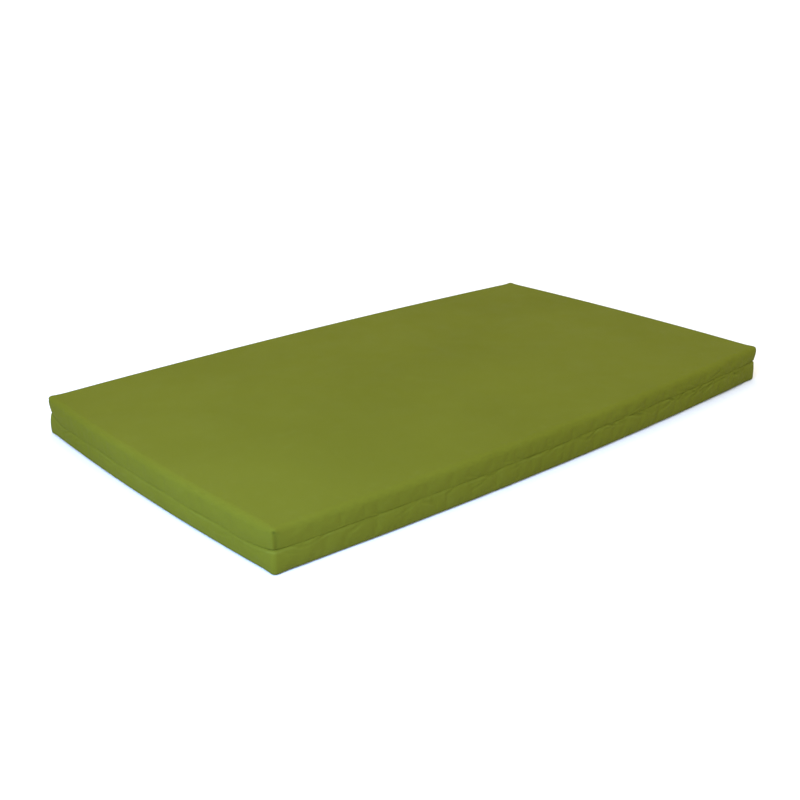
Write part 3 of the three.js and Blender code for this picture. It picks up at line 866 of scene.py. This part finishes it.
def softened(node, material, width):
    """The CAD node's shape with its edges rounded, to stand for it."""
    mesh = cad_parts[node].data.copy()
    mesh.name = node + "_detail"
    mesh.materials.clear()
    mesh.materials.append(material)
    work = bmesh.new()
    work.from_mesh(mesh)
    bmesh.ops.remove_doubles(work, verts=work.verts, dist=1e-6)
    bmesh.ops.dissolve_limit(work, angle_limit=math.radians(1), verts=work.verts, edges=work.edges)
    work.to_mesh(mesh)
    work.free()
    piece = bpy.data.objects.new(node + "_detail", mesh)
    bpy.context.scene.collection.objects.link(piece)
    bevel = piece.modifiers.new("soft_edges", "BEVEL")
    bevel.width = width
    bevel.segments = 2
    bevel.limit_method = "ANGLE"
    bevel.angle_limit = math.radians(32)
    bevel.harden_normals = True
    mesh.shade_smooth()
    return piece


def stitches(name, material, cloth, z):
    """A row of lockstitches on the cloth along the zip, each a short thread sunk at both its ends."""
    tree = BVHTree.FromObject(cloth, bpy.context.evaluated_depsgraph_get())
    skin = Skin()
    before = 20 * MM  # the cloth is looked for from so far outside
    lifts = ((-0.5, -0.25), (-0.3, 0.14), (0, 0.24), (0.3, 0.14), (0.5, -0.25))
    start = -ZIP_OPENING + 8 * MM
    for k in range(int(-2 * start / STITCH_PITCH)):
        path = []
        for t, lift in lifts:
            point, outward, _ = zip_point(start + k * STITCH_PITCH + t * STITCH_LENGTH, -before, z)
            hit = tree.ray_cast(point, -outward, 2 * before)[0]
            if hit is not None:
                path.append(hit + outward * (lift * MM))
        if len(path) == len(lifts):
            tube(skin, path, 0.27 * MM, 6)
    return skin.build(name, material)


def end_patch(name, material, x_from, x_to):
    """A folded square of cloth, sewn behind an end of the zip so that no foam shows past the stops."""
    skin = Skin()
    half = 8.5 * MM
    rows = []
    for side, inset in ((1, 4.1 * MM), (-1, 4.7 * MM)):
        for z in np.linspace(-half, half, 7)[::side]:
            round_off = 0.25 * MM * (abs(z) / half) ** 4
            row = [zip_point(x, inset + side * round_off, ZIP_Z + z)[0] for x in np.linspace(x_from, x_to, 8)]
            rows.append(skin.add(row))
    for upper, lower in zip(rows, rows[1:] + rows[:1]):
        skin.strip(upper, lower, closed=False)
    for end in (0, -1):
        edge = [int(row[end]) for row in rows]
        skin.face(edge if end == 0 else edge[::-1])
    return skin.build(name, material)


# ================================================================ stage

def add_sun(name, energy, colour, towards, angle):
    data = bpy.data.lights.new(name, "SUN")
    data.energy = energy
    data.color = colour
    data.angle = math.radians(angle)
    lamp = bpy.data.objects.new(name, data)
    lamp.rotation_euler = Vector(towards).to_track_quat("-Z", "Y").to_euler()
    bpy.context.scene.collection.objects.link(lamp)


def add_panel(name, energy, colour, place, target, size):
    data = bpy.data.lights.new(name, "AREA")
    data.energy = energy
    data.color = colour
    data.size = size
    lamp = bpy.data.objects.new(name, data)
    lamp.location = place
    lamp.rotation_euler = (Vector(target) - Vector(place)).to_track_quat("-Z", "Y").to_euler()
    bpy.context.scene.collection.objects.link(lamp)


def add_stage():
    """A pale floor in even white light, with a soft key from the left and cool light over the near corner."""
    bpy.ops.mesh.primitive_plane_add(size=900, location=(0, 0, -0.0003))
    floor = bpy.context.object
    floor.name = "floor"
    floor.data.materials.append(floor_paper())
    world = bpy.data.worlds.new("studio")
    world.use_nodes = True
    background = world.node_tree.nodes["Background"]
    background.inputs["Color"].default_value = (1, 1, 1, 1)
    background.inputs["Strength"].default_value = 1.0
    bpy.context.scene.world = world
    add_sun("overhead", 1.3, (1.0, 0.9, 0.75), (0.05, 0.12, -1), 80)
    add_sun("key_left", 0.7, (0.55, 1.0, 0.7), (0.9, 0.1, -0.42), 35)
    add_panel("window_glow", 95, (0.26, 0.43, 1.0), (-2.1, -1.1, 1.5), (-0.7, -0.4, 0.05), 1.2)
    bpy.context.scene.view_settings.view_transform = "Standard"


# ================================================================ assembly

add_camera()
cover_cloth = coated_fabric()
metal = zip_metal()
nylon = coil_plastic()
tape = woven_tape()

cover_outline = Outline(LONG_COLUMNS, SHORT_COLUMNS, CORNER_COLUMNS, CORE, CORNER_RADIUS)
upper = cover_half(cover_outline, "cover_upper_half", cover_cloth, True)
lower = cover_half(cover_outline, "cover_lower_half", cover_cloth, False)
for half, node in ((upper, "upper_cover"), (lower, "lower_cover")):
    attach(half, "mat")
    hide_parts(node)

landing, base = foam_layers()
for block, node, slot in ((landing, "landing_foam", "firm_foam"), (base, "base_foam", "soft_foam")):
    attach(block, "mat")
    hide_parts(node)

for node, up in (("zip_coil_upper", 1), ("zip_coil_lower", -1)):
    row = coil_row(node + "_turns", nylon, up)
    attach(row, "mat")
    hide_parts(node)

for node, body, width in (
    ("zip_slider", "slider", 0.35), ("zip_pull_tab", "pull_tab", 0.3), ("zip_top_stop_upper", "mat", 0.3),
    ("zip_top_stop_lower", "mat", 0.3), ("zip_bottom_stop", "mat", 0.3),
):
    detail = softened(node, metal, width * MM)
    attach(detail, body)
    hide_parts(node)

sewing = thread()
for name, cloth, up in (("zip_stitching_upper", upper, 1), ("zip_stitching_lower", lower, -1)):
    sewn = stitches(name, sewing, cloth, ZIP_Z + up * (ZIP_EDGE + 2.4 * MM))
    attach(sewn, "mat")

# each patch runs from its end of the zip's stops to the sewn part of the cover
for name, x_from, x_to in (("zip_end_patch_right", 0.8021, 0.834), ("zip_end_patch_left", -0.834, -0.8071)):
    patch = end_patch(name, cover_cloth, x_from, x_to)
    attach(patch, "mat")

carried = {"zip_tape_upper": tape, "zip_tape_lower": tape, "seam_binding": tape, "care_label": label_cloth()}
for node, material in carried.items():
    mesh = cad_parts[node].data
    mesh.materials.clear()
    mesh.materials.append(material)

add_stage()
